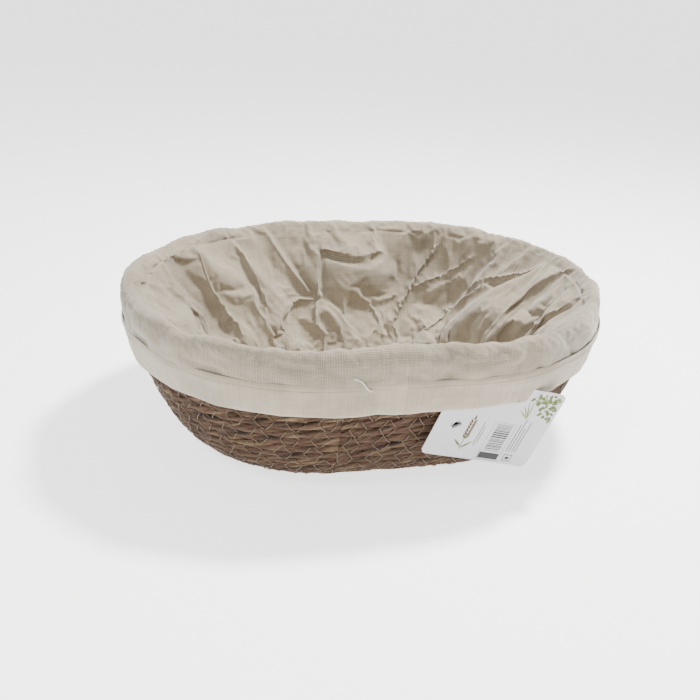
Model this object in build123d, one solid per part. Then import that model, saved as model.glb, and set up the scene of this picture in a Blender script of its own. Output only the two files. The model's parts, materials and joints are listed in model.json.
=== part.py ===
from build123d import *

import math
import os

# Oval bread-proofing basket: a coiled seagrass rope basket stitched with cotton thread, a lift-out
# cloth liner whose elasticated cuff folds over the rim, and a card swing tag on a plastic tag pin.
#
# Frame: millimetres, +Z up, origin on the ground at the centre of the base. X is the long way of the
# oval, -Y is the front, and the tag hangs at the front right.

os.makedirs("parts", exist_ok=True)

# --- Rope basket -----------------------------------------------------------------------------
SPINE = 32.0  # half the straight run in the middle of the oval
PITCH = 6.6  # spacing of neighbouring rope turns, along the wall's profile
ROPE_R = 3.25  # rope radius, which leaves a hairline between turns
ROPE_Z = 3.0  # centre height of the base turns, whose undersides are pressed flat at z = 0
BASE_RHO = 57.4  # how far the flat base reaches out from the spine
CORNER_R = 36.75  # radius of the rounded corner between base and wall, at the rope's centre
CORNER_END = math.radians(60.0)  # slope where the corner meets the wall
WALL_R = 172.0  # radius of the wall's gentle curve, at the rope's centre
TURNS = 27  # turns of rope, from the middle of the base to the rim
BASE_TURNS = 9  # the turns that lie flat
TAIL_ANGLE = 20.0  # degrees of the left end that the rope's thinned-out end covers
TAIL_R = 1.0  # radius of that end

# --- Stitching thread, which lies in the grooves between the turns ----------------------------
THREAD_R = 0.35
THREAD_OUT = 1.5  # from the rope's centre line to the thread's, square to the wall

# --- Liner -------------------------------------------------------------------------------------
CLOTH = 0.8  # thickness of the cloth with its weave
LINER_OUT = ROPE_R + 0.45 + CLOTH / 2  # from the rope's centre line to the cloth's middle
SEAM_RHO = 54.0  # where the floor panel is sewn to the side panel, out from the spine
CUFF = [
    (109.3, 96.5),
    (108.9, 98.7),
    (110.4, 100.4),
    (113.0, 100.7),
    (115.6, 98.9),
    (117.2, 94.8),
    (117.6, 90.0),
    (117.4, 85.2),
    (116.9, 81.2),
]  # middle of the cuff's cloth, from the top of the side panel to the hem: (out from the spine, z)
HEM_TOP = (116.6, 80.4)
HEM_FOOT = (112.8, 63.0)
HEM_GAP = 1.0  # room between the hem's two layers, for the elastic
ELASTIC_T = 0.6
ELASTIC_W = 8.0
SEWING_R = 0.22

# --- Swing tag and its pin -------------------------------------------------------------------
TAG_L = 70.5
TAG_W = 53.5
TAG_T = 0.45
TAG_CORNER = 3.5
TAG_HOLE_R = 1.7
TAG_HOLE_IN = (12.5, 22.5)  # hole's place, from the tag's lower left corner, along and across
TAG_HOLE_AT = (31.2, -109.2, 52.0)
TAG_YAW = 5.0  # degrees the tag's face turns to the right of the front
TAG_LEAN = 10.0  # degrees its face looks down
TAG_DROOP = 18.5  # degrees its long side slopes down to the right
PIN_R = 0.3
BAR_R = 0.45
BAR_L = 8.0
PADDLE = (5.6, 1.3, 0.6)
CLEAR = 0.45  # room left round the tag where it is tucked under the cuff
POCKET_T = 1.0  # cloth over the tucked tag
POCKET_START = 15.0  # x where the cloth starts to lie over the tag
POCKET_END = 76.0  # x where the cloth lets go of the tag's upper edge
TUCK_DEPTH = 12.0  # how far behind the tag the hem is kept clear

LOOSE_THREAD = [(-30.0, 117.55, 87.6), (-25.3, 118.0, 86.4), (-21.8, 117.9, 82.2), (-18.4, 117.0, 79.9)]


def profile(s, out=0.0):
    """Point (distance from the spine, z) at length s along the rope's centre line, moved out square to it."""
    corner = CORNER_R * CORNER_END
    if s <= BASE_RHO:
        rho, z, slope = s, ROPE_Z, 0.0
    elif s <= BASE_RHO + corner:
        slope = (s - BASE_RHO) / CORNER_R
        rho = BASE_RHO + CORNER_R * math.sin(slope)
        z = ROPE_Z + CORNER_R * (1 - math.cos(slope))
    else:
        slope = CORNER_END + (s - BASE_RHO - corner) / WALL_R
        rho = BASE_RHO + CORNER_R * math.sin(CORNER_END) + WALL_R * (math.sin(slope) - math.sin(CORNER_END))
        z = ROPE_Z + CORNER_R * (1 - math.cos(CORNER_END)) + WALL_R * (math.cos(CORNER_END) - math.cos(slope))
    return rho + out * math.sin(slope), z - out * math.cos(slope)


def turn_edges(level, out=0.0):
    """One turn: front run, right end and back run at this level, then the left end, which climbs a level."""
    rho, z = profile(level * PITCH, out)
    rho_next, z_next = profile((level + 1) * PITCH, out)
    back_left, front_left = Vector(-SPINE, rho, z), Vector(-SPINE, -rho_next, z_next)
    middle = (back_left + front_left) * 0.5
    reach = (back_left - front_left).length / 2
    climb = ThreePointArc(back_left, middle - Vector(reach, 0, 0), front_left)
    if level == 0:
        return [Line(Vector(SPINE, 0, z), back_left), climb]
    return [
        Line((-SPINE, -rho, z), (SPINE, -rho, z)),
        ThreePointArc((SPINE, -rho, z), (SPINE + rho, 0, z), (SPINE, rho, z)),
        Line((SPINE, rho, z), back_left),
        climb,
    ]


def round_bar(edges, radius):
    """A round bar along a path."""
    path = Wire(edges)
    return sweep(Plane(origin=path @ 0, z_dir=path % 0) * Circle(radius), path=path)


def pressed_flat(solid):
    """A base turn with its underside pressed flat where the basket stands on it."""
    return solid - Pos(0, 0, -50) * Box(500, 500, 100)


def rope_tail():
    """The rope's end beyond the last turn, thinning out along the top of the turn below it."""
    sections = []
    for step in range(6):
        share = step / 5
        angle = math.radians(90 + TAIL_ANGLE * share)
        radius = ROPE_R + (TAIL_R - ROPE_R) * share
        below = (TURNS - 2 + share * TAIL_ANGLE / 180) * PITCH
        rho, z = profile(below + ROPE_R + radius + PITCH - 2 * ROPE_R)
        centre = Vector(-SPINE + rho * math.cos(angle), rho * math.sin(angle), z)
        along = Vector(-math.sin(angle), math.cos(angle), 0)
        sections.append(Plane(origin=centre, x_dir=(0, 0, 1), z_dir=along) * Circle(radius))
    return loft(sections)


def strip(points, thickness):
    """Cross-section of a cloth strip of even thickness about a smooth line of (out from the spine, z) points."""
    line = Spline([(rho, z) for rho, z in points]) if len(points) > 2 else Line(*points)
    left, right = [], []
    count = 4 * (len(points) - 1) if len(points) > 2 else 1
    for step in range(count + 1):
        at = line @ (step / count)
        along = line % (step / count)
        across = Vector(-along.Y, along.X, 0) * (thickness / 2)
        left.append(at + across)
        right.append(at - across)
    side = Spline if len(left) > 2 else Polyline
    edges = [side(left), Line(left[-1], right[-1]), side(right[::-1]), Line(right[0], left[0])]
    return make_face(edges)


def ring(section):
    """A band round the oval with this cross-section, drawn on the XY plane as (out from the spine, z)."""
    upright = Plane.XZ * section
    side = Rot(0, 0, -90) * upright
    end = Pos(SPINE, 0, 0) * revolve(side, Axis.Z, 180)
    run = extrude(Pos(-SPINE, 0, 0) * side, amount=2 * SPINE, dir=(1, 0, 0))
    half = end + run
    return half + Rot(0, 0, 180) * half


def bead(rho, z, radius):
    """A thread round the oval."""
    return ring(Pos(rho, z) * Circle(radius))


def side_panel_points():
    """Middle of the side panel's cloth, from the floor seam up to the cuff."""
    start, end = SEAM_RHO + 1.2, (TURNS - 1) * PITCH
    points = [profile(start + (end - start) * step / 14, -LINER_OUT) for step in range(15)]
    return points


def floor_panel():
    """The liner's flat floor."""
    _, z = profile(0, -LINER_OUT)
    return extrude(Pos(0, 0, z - CLOTH / 2) * SlotOverall(2 * (SPINE + SEAM_RHO), 2 * SEAM_RHO), amount=CLOTH)


def hem_frame():
    """The hem's slant: its top and foot, and the directions down along it and in towards the rope."""
    top, foot = Vector(*HEM_TOP), Vector(*HEM_FOOT)
    down = (foot - top).normalized()
    return top, foot, down, Vector(down.Y, -down.X, 0)


def slab_section(corner, along, across):
    """A four-sided cross-section from one corner."""
    return make_face(Polyline(corner, corner + along, corner + along + across, corner + across, corner))


def hem_section():
    """The hem's two layers and the fold that joins them at the foot."""
    top, foot, down, inward = hem_frame()
    outside = top - inward * (CLOTH / 2)
    whole = slab_section(outside, foot - top, inward * (2 * CLOTH + HEM_GAP))
    hollow = slab_section(outside + inward * CLOTH - down, foot - top - down * (CLOTH - 1), inward * HEM_GAP)
    return whole - hollow


def elastic_section():
    """The elastic inside the hem."""
    _, foot, down, inward = hem_frame()
    corner = foot - down * (CLOTH + 0.4) + inward * (CLOTH / 2 + (HEM_GAP - ELASTIC_T) / 2)
    return slab_section(corner, down * -ELASTIC_W, inward * ELASTIC_T)


def tag_plane():
    """The tag's plane, with its origin at the hole and x along the tag's long side."""
    yaw, lean, droop = (math.radians(a) for a in (TAG_YAW, TAG_LEAN, TAG_DROOP))
    face = Vector(math.sin(yaw) * math.cos(lean), -math.cos(yaw) * math.cos(lean), -math.sin(lean))
    level = Vector(math.cos(yaw), math.sin(yaw), 0)
    up = face.cross(level)
    return Plane(origin=TAG_HOLE_AT, x_dir=level * math.cos(droop) - up * math.sin(droop), z_dir=face)


def tag_slab(grow, back, front):
    """The tag's outline grown by this much, as a slab between two distances from its middle plane."""
    outline = RectangleRounded(TAG_L + 2 * grow, TAG_W + 2 * grow, TAG_CORNER + grow)
    along, across = TAG_L / 2 - TAG_HOLE_IN[0], TAG_W / 2 - TAG_HOLE_IN[1]
    return tag_plane() * (Pos(along, across, -back) * extrude(outline, amount=back + front))


def swing_tag():
    """The card, with its hole."""
    hole = tag_plane() * Cylinder(TAG_HOLE_R, 10)
    return tag_slab(0, TAG_T / 2, TAG_T / 2) - hole


def beside_tag(cloth, grow=CLEAR, in_front=TAG_T / 2 + CLEAR):
    """A band of the hem without the stretch that the tucked tag pushes out."""
    behind = tag_slab(grow, TUCK_DEPTH, in_front)
    return cloth - (behind & left_of_pocket_end(cloth)) - tag_slab(CLEAR, TAG_T / 2 + CLEAR, TAG_T / 2 + CLEAR)


def left_of_pocket_end(cloth):
    """The space at this cloth's heights, up to where it lets go of the tag's upper edge."""
    low, high = cloth.bounding_box().min.Z, cloth.bounding_box().max.Z
    return Pos(POCKET_END - 200, 0, (low + high) / 2) * Box(400, 400, high - low)


def over_tag(cloth):
    """The cloth over the tucked part of the tag."""
    front = TAG_T / 2 + CLEAR
    cover = tag_slab(CLEAR + POCKET_T, 0, front + POCKET_T) - tag_slab(CLEAR, front, front)
    return cover & left_of_pocket_end(cloth)


def tag_pin():
    """A bar behind the rope, a thread out between two turns and through the tag, and a paddle."""
    plane = tag_plane()
    hole = Vector(*TAG_HOLE_AT)
    level = min((k + 0.5 for k in range(TURNS)), key=lambda v: abs(profile(v * PITCH, ROPE_R)[1] - hole.Z))
    rho, z = profile(level * PITCH, -2.0)
    rho_out, z_out = profile(level * PITCH, 2.0)
    inside, outside = Vector(hole.X, -rho, z), Vector(hole.X, -rho_out, z_out)
    front = hole + plane.z_dir * 0.8
    bend = outside + (outside - inside).normalized() * 1.5
    thread = FilletPolyline(inside, bend, front, radius=1.5)
    bar = Pos(inside) * Rot(0, 90, 0) * Cylinder(BAR_R, BAR_L)
    paddle = plane * (Pos(0, 0, 0.8 + PADDLE[2] / 2) * Rot(0, 0, 40) * Box(*PADDLE))
    return bar + round_bar(thread.edges(), PIN_R) + paddle


def loose_thread():
    """A thread end that hangs from the cuff's hem seam."""
    points = [Vector(x, -rho, z) for x, rho, z in LOOSE_THREAD]
    return round_bar(FilletPolyline(*points, radius=2.0).edges(), SEWING_R)


def save(shape, name):
    export_step(shape, f"parts/{name}.step")


def build_rope():
    for k in range(TURNS - 1):
        turn = round_bar(turn_edges(k), ROPE_R)
        if k <= BASE_TURNS:
            turn = pressed_flat(turn)
        name = f"base_coil_{k + 1:02d}" if k < BASE_TURNS else f"wall_coil_{k + 1 - BASE_TURNS:02d}"
        save(turn, name)
    save(round_bar(turn_edges(TURNS - 1)[:3], ROPE_R), "rim_coil")
    save(rope_tail(), "rope_tail")


def build_stitching():
    base, wall = [], []
    for k in range(1, BASE_TURNS - 1):
        base += turn_edges(k + 0.5, -THREAD_OUT)
    for k in range(BASE_TURNS, TURNS - 2):
        wall += turn_edges(k + 0.5, THREAD_OUT)
    wall += turn_edges(TURNS - 1.5, THREAD_OUT)[:3]
    save(round_bar(base, THREAD_R), "base_stitching")
    save(round_bar(wall, THREAD_R), "wall_stitching")


def build_liner():
    rho, z = side_panel_points()[0]
    save(floor_panel(), "liner_floor")
    save(ring(strip(side_panel_points(), CLOTH)), "liner_side")
    save(bead(SEAM_RHO + 0.6, z + 0.1, SEWING_R), "floor_stitching")
    save(ring(strip(CUFF, CLOTH)) - tag_slab(CLEAR, TAG_T / 2 + CLEAR, TAG_T / 2 + CLEAR), "liner_cuff")
    hem = ring(hem_section())
    save(beside_tag(hem) + over_tag(hem), "liner_hem")
    save(beside_tag(ring(elastic_section()), CLEAR + POCKET_T + 0.3, TUCK_DEPTH), "hem_elastic")
    stitching = bead(HEM_TOP[0] + CLOTH / 2 - 0.3, HEM_TOP[1] - 1.4, SEWING_R)
    over_tag_stretch = Pos((POCKET_START + POCKET_END) / 2, -HEM_TOP[0], HEM_TOP[1]) * Box(
        POCKET_END - POCKET_START, 40, 10
    )
    save(stitching - over_tag_stretch, "hem_stitching")
    save(loose_thread(), "loose_thread")


build_rope()
build_stitching()
build_liner()
save(swing_tag(), "swing_tag")
save(tag_pin(), "tag_pin")
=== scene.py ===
"""Looks of the oval proofing basket: twisted seagrass rope, zigzag thread, a creased linen liner with
an elasticated hem, and a bowed swing tag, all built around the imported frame."""

import json
import math

import bmesh
import bpy
import numpy as np
from mathutils import Matrix, Vector


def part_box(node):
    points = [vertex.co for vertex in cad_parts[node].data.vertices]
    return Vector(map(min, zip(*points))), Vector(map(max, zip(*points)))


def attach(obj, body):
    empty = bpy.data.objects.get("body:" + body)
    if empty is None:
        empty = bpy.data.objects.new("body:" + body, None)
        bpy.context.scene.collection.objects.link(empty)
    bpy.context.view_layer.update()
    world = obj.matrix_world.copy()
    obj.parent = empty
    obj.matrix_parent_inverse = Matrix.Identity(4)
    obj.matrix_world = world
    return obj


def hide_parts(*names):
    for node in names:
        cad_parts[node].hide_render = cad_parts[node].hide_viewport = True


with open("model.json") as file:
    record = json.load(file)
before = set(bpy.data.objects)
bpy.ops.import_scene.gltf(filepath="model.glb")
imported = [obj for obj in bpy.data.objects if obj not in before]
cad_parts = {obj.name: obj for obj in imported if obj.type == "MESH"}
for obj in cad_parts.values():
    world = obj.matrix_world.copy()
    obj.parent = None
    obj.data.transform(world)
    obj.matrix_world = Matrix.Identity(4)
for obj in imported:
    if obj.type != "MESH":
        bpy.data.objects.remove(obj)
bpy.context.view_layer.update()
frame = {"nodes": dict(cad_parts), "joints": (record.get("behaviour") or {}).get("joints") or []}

MM = 0.001

# --- Sizes read from the frame ---------------------------------------------------------------
rim_low, rim_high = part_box("rim_coil")
ROPE_R = (rim_high.z - rim_low.z) / 2
SPINE = rim_high.x - rim_high.y  # half the straight run of the oval
BASE_NAMES = sorted(n for n in frame["nodes"] if n.startswith("base_coil"))
WALL_NAMES = sorted(n for n in frame["nodes"] if n.startswith("wall_coil"))
COILS = BASE_NAMES + WALL_NAMES + ["rim_coil"]


def coil_levels():
    """(distance out from the spine, height) of the rope's centre at the start of each turn."""
    out, last_top = [], None
    for name in COILS:
        _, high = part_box(name)
        rho = high.y - ROPE_R
        z = high.z - ROPE_R if last_top is None else last_top - ROPE_R
        out.append((max(rho, 0.0), z))
        last_top = high.z
    out[-1] = (rim_high.y - ROPE_R, rim_high.z - ROPE_R)
    return np.array(out)


LEVELS = coil_levels()
LAST = len(LEVELS) - 1


# --- The oval ----------------------------------------------------------------------------------
REF = 0.100  # distance out from the spine at which lengths round the oval are measured
QUARTER = math.pi * REF / 2
ROUND = 4 * SPINE + 4 * QUARTER  # length round the oval there


def oval(q, rho):
    """Points, and outward directions, at lengths q round the oval from the front's middle towards +X."""
    q = np.mod(np.asarray(q, float) + SPINE, ROUND)  # from the front's left end
    rho = np.asarray(rho, float)
    side, end = 2 * SPINE, 2 * QUARTER
    a = np.select(
        [q < side, q < side + end, q < 2 * side + end],
        [-math.pi / 2 + 0 * q, -math.pi / 2 + (q - side) / REF, math.pi / 2 + 0 * q],
        math.pi / 2 + (q - 2 * side - end) / REF,
    )
    cx = np.select(
        [q < side, q < side + end, q < 2 * side + end],
        [-SPINE + q, SPINE + 0 * q, SPINE - (q - side - end)],
        -SPINE,
    )
    nx, ny = np.cos(a), np.sin(a)
    return cx + rho * nx, rho * ny, nx, ny


def smooth_noise(shape, cells, seed):
    """Smooth noise from -1 to 1 on a grid that wraps round its second axis."""
    r = np.random.default_rng(seed)
    rows, cols = cells
    grid = r.uniform(-1, 1, (rows + 3, cols))
    y = np.linspace(0, rows, shape[0])[:, None] * np.ones((1, shape[1]))
    x = np.linspace(0, cols, shape[1], endpoint=False)[None, :] * np.ones((shape[0], 1))
    iy, ix = np.floor(y).astype(int), np.floor(x).astype(int)
    fy, fx = y - iy, x - ix
    fy, fx = fy * fy * (3 - 2 * fy), fx * fx * (3 - 2 * fx)
    ix0, ix1 = ix % cols, (ix + 1) % cols
    a = grid[iy, ix0] * (1 - fx) + grid[iy, ix1] * fx
    b = grid[iy + 1, ix0] * (1 - fx) + grid[iy + 1, ix1] * fx
    return a * (1 - fy) + b * fy


# --- Mesh helpers ------------------------------------------------------------------------------
def new_mesh(name, co, faces, corner_uv=None, smooth=True):
    """A mesh object from vertices, quads or other faces, and one (u, v) for each face corner."""
    mesh = bpy.data.meshes.new(name)
    mesh.from_pydata(np.asarray(co, float).reshape(-1, 3).tolist(), [], faces)
    if corner_uv is not None:
        layer = mesh.uv_layers.new(name="UVMap")
        layer.data.foreach_set("uv", np.asarray(corner_uv, np.float32).ravel())
    mesh.polygons.foreach_set("use_smooth", [smooth] * len(mesh.polygons))
    mesh.update()
    obj = bpy.data.objects.new(name, mesh)
    bpy.context.scene.collection.objects.link(obj)
    return obj


def grid_faces(rows, cols):
    """Quads of a grid whose rows close into rings, row by row, and each corner's (row, column)."""
    r = np.arange(rows - 1)[:, None]
    c = np.arange(cols)[None, :]
    r, c = np.broadcast_arrays(r, c)
    r, c = r.ravel(), c.ravel()
    corners = [(r, c), (r, c + 1), (r + 1, c + 1), (r + 1, c)]
    index = np.stack([a * cols + b % cols for a, b in corners], 1)
    place = np.stack([np.stack([a, b], 1) for a, b in corners], 1)
    return index, place


def grid_object(name, points, u, v):
    """A sheet through a grid of points; u runs along columns and v along rows, in metres."""
    rows, cols = points.shape[:2]
    index, place = grid_faces(rows, cols)
    uu = np.append(u, u[-1] + (u[1] - u[0]))[place[:, :, 1]]
    vv = v[place[:, :, 0]]
    return new_mesh(name, points, index.tolist(), np.stack([uu, vv], 2))


def tube_object(name, rings, along, around):
    """A closed tube through rings of points; uv is the length along it and round it, in metres."""
    rows, cols = rings.shape[:2]
    index, place = grid_faces(rows, cols)
    u = along[place[:, :, 0]]
    v = place[:, :, 1] * (around / cols)
    faces = index[:, ::-1].tolist()
    uv = np.stack([u, v], 2)[:, ::-1].reshape(-1, 2)
    faces += [list(range(cols))[::-1], list(range((rows - 1) * cols, rows * cols))]
    uv = np.concatenate([uv, np.zeros((2 * cols, 2))])
    return new_mesh(name, rings, faces, uv)


# --- Material helpers --------------------------------------------------------------------------
def material(name, roughness=0.8, sheen=0.0, specular=0.3):
    """A new material: its node tree, its shader, and a function that adds nodes."""
    mat = bpy.data.materials.new(name)
    mat.use_nodes = True
    tree = mat.node_tree
    shader = tree.nodes["Principled BSDF"]
    shader.inputs["Roughness"].default_value = roughness
    shader.inputs["Sheen Weight"].default_value = sheen
    shader.inputs["Specular IOR Level"].default_value = specular

    def add(kind, links=None, **values):
        node = tree.nodes.new(kind)
        for key, value in values.items():
            setattr(node, key, value)
        for key, value in (links or {}).items():
            if hasattr(value, "is_output"):
                tree.links.new(value, node.inputs[key])
            else:
                node.inputs[key].default_value = value
        return node

    return mat, tree, shader, add


def ramp(add, fac, stops):
    """A colour ramp with these (place, colour) stops."""
    node = add("ShaderNodeValToRGB", {"Fac": fac})
    band = node.color_ramp
    while len(band.elements) > 1:
        band.elements.remove(band.elements[-1])
    band.elements[0].position = stops[0][0]
    band.elements[0].color = (*stops[0][1], 1)
    for place, colour in stops[1:]:
        band.elements.new(place).color = (*colour, 1)
    return node.outputs["Color"]


def calc(add, op, a, b=0.0, c=0.0):
    """A maths node's output."""
    return add("ShaderNodeMath", {0: a, 1: b, 2: c}, operation=op).outputs[0]


def mix_colour(add, fac, a, b, mode="MIX"):
    """A mix of two colours."""
    node = add("ShaderNodeMix", data_type="RGBA", blend_type=mode)
    tree = node.id_data
    for key, value in ((0, fac), (6, a), (7, b)):
        if hasattr(value, "is_output"):
            tree.links.new(value, node.inputs[key])
        else:
            node.inputs[key].default_value = value if key == 0 else (*value, 1)
    return node.outputs[2]


def darken(add, colour, by):
    """A colour multiplied by another."""
    return mix_colour(add, 1.0, colour, by, "MULTIPLY")


def noise(add, at, scale, detail, roughness=0.5):
    """A noise texture's value."""
    links = {"Vector": at, "Scale": scale, "Detail": detail, "Roughness": roughness}
    return add("ShaderNodeTexNoise", links).outputs["Fac"]


def stretched(add, uv, along, across):
    """UV scaled differently along and across."""
    return add("ShaderNodeMapping", {"Vector": uv, "Scale": (along, across, 1.0)}).outputs[0]


def set_bump(add, shader, height, strength, distance):
    """Bump for a shader."""
    bump = add("ShaderNodeBump", {"Height": height, "Strength": strength, "Distance": distance})
    bump.id_data.links.new(bump.outputs[0], shader.inputs["Normal"])


def seagrass_material():
    """Dry twisted seagrass: long blades of brown, tan and plum, with painted shade in the gaps between them.
    """
    mat, tree, shader, add = material("seagrass", roughness=0.7, sheen=0.0, specular=0.18)
    uv = add("ShaderNodeUVMap", uv_map="UVMap").outputs["UV"]
    blade = add("ShaderNodeAttribute", attribute_name="blade").outputs["Fac"]
    gap = add("ShaderNodeAttribute", attribute_name="gap").outputs["Fac"]
    along = add("ShaderNodeSeparateXYZ", {"Vector": uv}).outputs["X"]
    x, y = calc(add, "MULTIPLY", along, 18.0), calc(add, "MULTIPLY", blade, 7.3)
    tone = noise(add, add("ShaderNodeCombineXYZ", {"X": x, "Y": y}).outputs[0], 1.0, 3.0, 0.6)
    colour = ramp(
        add, tone,
        [(0.30, (0.016, 0.009, 0.006)), (0.40, (0.050, 0.028, 0.016)), (0.47, (0.092, 0.055, 0.031)),
         (0.53, (0.066, 0.030, 0.021)), (0.59, (0.150, 0.098, 0.054)), (0.66, (0.072, 0.042, 0.024)),
         (0.74, (0.290, 0.205, 0.110))],
    )
    fibre = noise(add, stretched(add, uv, 90.0, 2600.0), 1.0, 4.0, 0.65)
    streak = ramp(add, fibre, [(0.3, (0.45, 0.42, 0.40)), (0.55, (1.0, 1.0, 1.0)), (0.75, (1.35, 1.3, 1.2))])
    colour = darken(add, colour, streak)
    # painted shade: the colour darkens towards black where a point lies deep in a gap between the blades
    shade = ramp(add, gap, [(0.0, (1.0, 1.0, 1.0)), (0.45, (0.80, 0.76, 0.74)), (1.0, (0.12, 0.09, 0.08))])
    tree.links.new(darken(add, colour, shade), shader.inputs["Base Color"])
    set_bump(add, shader, fibre, 0.55, 0.35 * MM)
    return mat


def thread_material(name, colour):
    """Plied thread: two tones in patches and a fine twist, with painted shade along the twist's grooves."""
    mat, tree, shader, add = material(name, roughness=0.75, sheen=0.2, specular=0.25)
    uv = add("ShaderNodeUVMap", uv_map="UVMap").outputs["UV"]
    parts = add("ShaderNodeSeparateXYZ", {"Vector": uv})
    along = calc(add, "MULTIPLY", parts.outputs["X"], 5200.0)
    around = calc(add, "MULTIPLY", parts.outputs["Y"], 9000.0)
    twist = calc(add, "SINE", calc(add, "ADD", along, around))
    patch = noise(add, add("ShaderNodeTexCoord").outputs["Object"], 60.0, 3.0)
    dark = tuple(0.6 * c for c in colour)
    base = mix_colour(add, patch, dark, tuple(1.15 * c for c in colour))
    ply = calc(add, "MULTIPLY_ADD", twist, 0.5, 0.5)
    # painted shade: the colour darkens along the low half of the twist, in the grooves between the plies
    ply_groove_shade = ramp(add, ply, [(0.0, (0.7, 0.68, 0.66)), (0.6, (1.0, 1.0, 1.0))])
    tree.links.new(darken(add, base, ply_groove_shade), shader.inputs["Base Color"])
    set_bump(add, shader, twist, 0.4, 0.1 * MM)
    return mat


def weave_material(name, colour, pitch, gap_darkening):
    """Plain-weave linen: warp and weft with slubs, little gaps painted darker (partly what shows through the
    open weave, partly painted shade), a painted highlight on the threads' crowns, and soft stains of tone.
    """
    mat, tree, shader, add = material(name, roughness=0.92, sheen=0.35, specular=0.15)
    shader.inputs["Sheen Roughness"].default_value = 0.6
    uv = add("ShaderNodeUVMap", uv_map="UVMap").outputs["UV"]
    wander = add("ShaderNodeTexNoise", {"Vector": uv, "Scale": 180.0, "Detail": 2.0}).outputs["Color"]
    offset = add("ShaderNodeVectorMath", {0: wander, 1: (0.5, 0.5, 0.5)}, operation="SUBTRACT").outputs[0]
    shift = add("ShaderNodeVectorMath", {0: offset, 3: pitch * 1.1}, operation="SCALE").outputs[0]
    moved = add("ShaderNodeVectorMath", {0: uv, 1: shift}, operation="ADD").outputs[0]
    parts = add("ShaderNodeSeparateXYZ", {"Vector": moved})
    warp = calc(add, "SINE", calc(add, "MULTIPLY", parts.outputs["X"], 2 * math.pi / pitch))
    weft = calc(add, "SINE", calc(add, "MULTIPLY", parts.outputs["Y"], 2 * math.pi / pitch))
    over = calc(add, "MULTIPLY", warp, weft)
    hole = calc(add, "MULTIPLY", calc(add, "ABSOLUTE", warp), calc(add, "ABSOLUTE", weft))
    slubs_u = noise(add, stretched(add, uv, 25.0, 1100.0), 1.0, 3.0, 0.6)
    slubs_v = noise(add, stretched(add, uv, 1100.0, 25.0), 1.0, 3.0, 0.6)
    slubs = calc(add, "MULTIPLY", calc(add, "ADD", slubs_u, slubs_v), 0.5)
    low, high = tuple(0.78 * c for c in colour), tuple(1.12 * c for c in colour)
    base = ramp(add, noise(add, uv, 30.0, 4.0, 0.6), [(0.3, low), (0.5, colour), (0.7, high)])
    threads = ramp(add, slubs, [(0.34, (0.80, 0.79, 0.77)), (0.5, (1.0,) * 3), (0.66, (1.12, 1.11, 1.08))])
    base = darken(add, base, threads)
    # the little gaps between the threads are painted darker, partly for what shows through the open weave and
    # partly as painted shade; the threads' crowns are painted lighter as a painted highlight
    gap_shade_and_crown_light = ramp(add, hole, [(0.0, (1.0 - gap_darkening,) * 3), (0.45, (1.0,) * 3), (1.0, (1.12,) * 3)])
    tree.links.new(darken(add, base, gap_shade_and_crown_light), shader.inputs["Base Color"])
    height = calc(add, "ADD", calc(add, "MULTIPLY", over, 0.35), calc(add, "MULTIPLY", slubs, 1.6))
    set_bump(add, shader, height, 0.5, 0.3 * MM)
    return mat


SEAGRASS = seagrass_material()
TWINE = thread_material("twine", (0.16, 0.115, 0.062))
LINEN = weave_material("linen", (0.35, 0.295, 0.215), 0.0014, 0.7)
HEM_LINEN = weave_material("hem_linen", (0.36, 0.305, 0.22), 0.0009, 0.15)
PALE_THREAD = thread_material("pale_thread", (0.85, 0.82, 0.74))
# painted light: the floor panel's linen is a lighter copy of the liner's linen, standing in for the light
# that falls on the up-facing floor
LIT_FLOOR_LINEN = weave_material("floor_linen_painted_light", (0.60, 0.54, 0.40), 0.0011, 0.25)
SEWING = thread_material("sewing_thread", (0.62, 0.57, 0.46))


def finish_piece(obj, mat, body, nodes):
    """Gives a piece its material, its body, and the frame nodes it stands for."""
    obj.data.materials.append(mat)
    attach(obj, body)
    if nodes:
        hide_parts(*nodes)
    return obj


# --- Rope --------------------------------------------------------------------------------------
ROPE_STEP = 1.3 * MM
ROPE_SIDES = 30
TWIST = 62 * MM  # length in which the bundle turns once
BLADES = 7


def level_point(k, out=0.0):
    """(distance from the spine, z) at a level, moved square to the wall, for levels between turns too."""
    k = np.asarray(k, float)
    idx = np.arange(len(LEVELS))
    rho, z = np.interp(k, idx, LEVELS[:, 0]), np.interp(k, idx, LEVELS[:, 1])
    a = slope_at(k)
    return rho + out * np.sin(a), z - out * np.cos(a)


def slope_at(k):
    """Slope of the wall's profile at a level."""
    rises = np.diff(LEVELS, axis=0)
    angles = np.arctan2(rises[:, 1], rises[:, 0])
    middle = np.arange(len(angles)) + 0.5
    return np.interp(k, middle, angles)


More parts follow.
